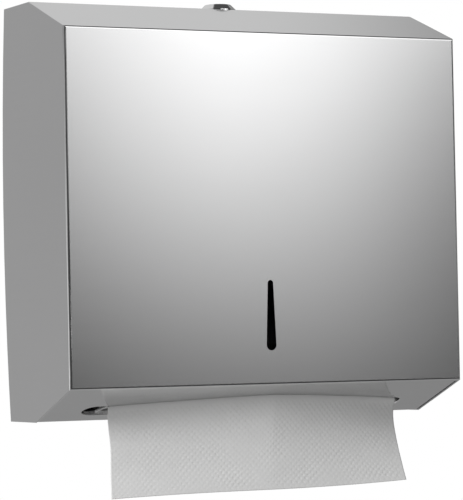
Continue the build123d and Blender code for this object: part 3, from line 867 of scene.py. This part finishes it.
def make_floor():
    """Pale round floor that fades out at its rim and keeps the shadow."""
    material, tree = new_material("pale_floor")
    x, y, _ = separate(object_place(tree))
    far = (x * x + y * y) ** 0.5
    fade = smooth_step(far, *(FLOOR_RADIUS * share for share in FLOOR_FADE))
    below = node(tree, "ShaderNodeNewGeometry", out="Backfacing")
    clear = node(tree, "ShaderNodeBsdfTransparent")
    pale = node(tree, "ShaderNodeBsdfDiffuse", None, {"Color": grey(FLOOR_GREY)})
    shown = node(tree, "ShaderNodeMixShader", None, {0: calc("MAXIMUM", fade, below), 1: pale, 2: clear})
    node(tree, "ShaderNodeOutputMaterial", None, {"Surface": shown})
    turns = np.linspace(0, 2 * math.pi, FLOOR_SIDES, endpoint=False)
    rim = [(FLOOR_RADIUS * math.cos(a), FLOOR_RADIUS * math.sin(a), FLOOR_HEIGHT) for a in turns]
    new_stage("floor", rim, [tuple(range(FLOOR_SIDES))], material)


def toward(way, target):
    """How nearly a direction points at a target, 1 when it does."""
    aim = Vector(target).normalized()
    return node(way.tree, "ShaderNodeVectorMath", {"operation": "DOT_PRODUCT"}, {0: way, 1: aim}, out=1)


def lay_over(light, mask, level):
    """A light with another level laid over it where the mask is 1."""
    return light * (1 - mask) + level * mask


def dark_front(around, up):
    """Dark front of the tent, and a dark patch low under the softbox."""
    foot = smooth_step(around, *DARK_FRONT_STEP, *DARK_FRONT_FEET)
    front = window(around, *DARK_FRONT_ROUND) * window(up, foot, DARK_FRONT_TOP, *DARK_FRONT_SOFT)
    low = window(around, *DARK_LOW_ROUND) * (1 - smooth_step(up, *DARK_LOW_TOP))
    return calc("MAXIMUM", front, low)


def low_pool(around, up):
    """Soft pool of light low in front, for the panel seen from above."""
    aside = (around - POOL_MIDDLE[0]) / POOL_SPREAD[0]
    higher = (up - POOL_MIDDLE[1]) / POOL_SPREAD[1]
    return calc("EXPONENT", 0 - aside * aside - higher * higher)


def softbox(around, up):
    """Tall soft light that the panel mirrors: it leans, brightens upwards and has a dimmer right edge."""
    below = calc("MAXIMUM", BOX_BENDS[0] - up, 0.0)
    above = calc("MAXIMUM", up - BOX_BENDS[1], 0.0)
    middle = BOX_MIDDLE + BOX_LEANS[0] * below + BOX_LEANS[1] * above
    sideways = (around - middle) / (BOX_SPREAD + BOX_WIDENING * above)
    edge = BOX_EDGE * smooth_step(around, *BOX_EDGE_ROUND) * (1 - smooth_step(up, *BOX_EDGE_TOP))
    box = calc("EXPONENT", 0 - sideways * sideways) * (1 - edge)
    gain = BOX_GAIN * calc("MAXIMUM", up - BOX_GAIN_START, 0.0)
    box = box * (smooth_step(up, *BOX_RISE) + gain + BOX_LEAST)
    box = box * (1 - smooth_step(up, *BOX_TOP)) * smooth_step(up, *BOX_FOOT)
    return box * (1 - BOX_DIMMING * smooth_step(up, *BOX_DIMMING_RISE))


def tent_light(tree):
    """Brightness of the light tent by direction."""
    way = node(tree, "ShaderNodeVectorMath", {"operation": "NORMALIZE"}, {0: object_place(tree)})
    x, y, z = separate(way)
    around = calc("ARCTAN2", x, 0 - y) * (180 / math.pi)
    up = calc("ARCSINE", z) * (180 / math.pi)
    light = smooth_step(up, *TENT_HEIGHTS, *TENT_LEVELS)
    light = light * (1 - DARK_FRONT * dark_front(around, up))
    right = window(around, *DARK_RIGHT_ROUND) * (1 - smooth_step(up, *DARK_RIGHT_TOP))
    light = light * (1 - DARK_RIGHT * right)
    light = light + POOL_LIGHT * low_pool(around, up)
    light = light + BOX_LIGHT * softbox(around, up)
    bank = window(around, *BANK_ROUND) * window(up, *BANK_RISE)
    light = calc("MAXIMUM", light, BANK_LIGHT * bank)
    strip = window(around, *STRIP_ROUND) * window(up, *STRIP_RISE)
    light = lay_over(light, strip, STRIP_LIGHT)
    back = window(around, *BACK_ROUND) * window(up, *BACK_RISE)
    light = lay_over(light, back, BACK_LIGHT)
    lamps = [smooth_step(toward(way, target), *edge) for target, edge in ROOF_LAMPS]
    light = light + ROOF_LIGHT * calc("MAXIMUM", *lamps)
    for spot in DARK_CEILING:
        light = lay_over(light, smooth_step(toward(way, spot), *CEILING_EDGE), CEILING_LIGHT)
    return light


def glow(material, tree, light):
    """Let a material shine at a grey level."""
    shine = node(tree, "ShaderNodeEmission", None, {"Color": light, "Strength": 1.0})
    node(tree, "ShaderNodeOutputMaterial", None, {"Surface": shine})
    material.cycles.emission_sampling = "NONE"


def seen_by_metal_only(card):
    """Hide a mesh of the studio from the camera, from matte pieces and from shadows."""
    card.visible_camera = False
    card.visible_diffuse = False
    card.visible_transmission = False
    card.visible_shadow = False


def make_tent():
    """Light tent that only polished pieces see."""
    points = []
    for r in range(TENT_RINGS + 1):
        up = math.pi * (r / TENT_RINGS - 0.5)
        reach = TENT_RADIUS * math.cos(up)
        for t in range(TENT_TURNS):
            around = 2 * math.pi * t / TENT_TURNS
            points.append((reach * math.cos(around), reach * math.sin(around), TENT_RADIUS * math.sin(up)))
    faces = []
    for r in range(TENT_RINGS):
        for t in range(TENT_TURNS):
            first = r * TENT_TURNS + t
            second = r * TENT_TURNS + (t + 1) % TENT_TURNS
            faces.append((first, first + TENT_TURNS, second + TENT_TURNS, second))
    material, tree = new_material("light_tent")
    glow(material, tree, tent_light(tree))
    seen_by_metal_only(new_stage("light_tent", points, faces, material))


def make_flag():
    """Dark card low in front, which draws the dark line along the panel's lower bend."""
    corners = [(x, y, FLOOR_HEIGHT + FLAG_LIFT) for x, y in FLAG_CORNERS]
    material, tree = new_material("front_flag")
    glow(material, tree, grey(FLAG_LIGHT))
    seen_by_metal_only(new_stage("front_flag", corners, [tuple(range(len(corners)))], material))


def make_key():
    """Round soft lamp high at the left, which metal doesn't mirror."""
    data = bpy.data.lights.new("key", "AREA")
    data.shape = "DISK"
    data.size = KEY_SIZE
    data.energy = KEY_POWER
    lamp = bpy.data.objects.new("key", data)
    lamp.location = KEY_PLACE
    aim = Vector(KEY_TARGET) - Vector(KEY_PLACE)
    lamp.rotation_euler = aim.to_track_quat("-Z", "Y").to_euler()
    lamp.visible_glossy = False
    show(lamp)


dress_frame()
make_hanging_towel()
make_next_towel()
make_stack()
make_rivets()
make_camera()
make_world()
make_floor()
make_tent()
make_flag()
make_key()
bpy.context.scene.view_settings.view_transform = "Standard"
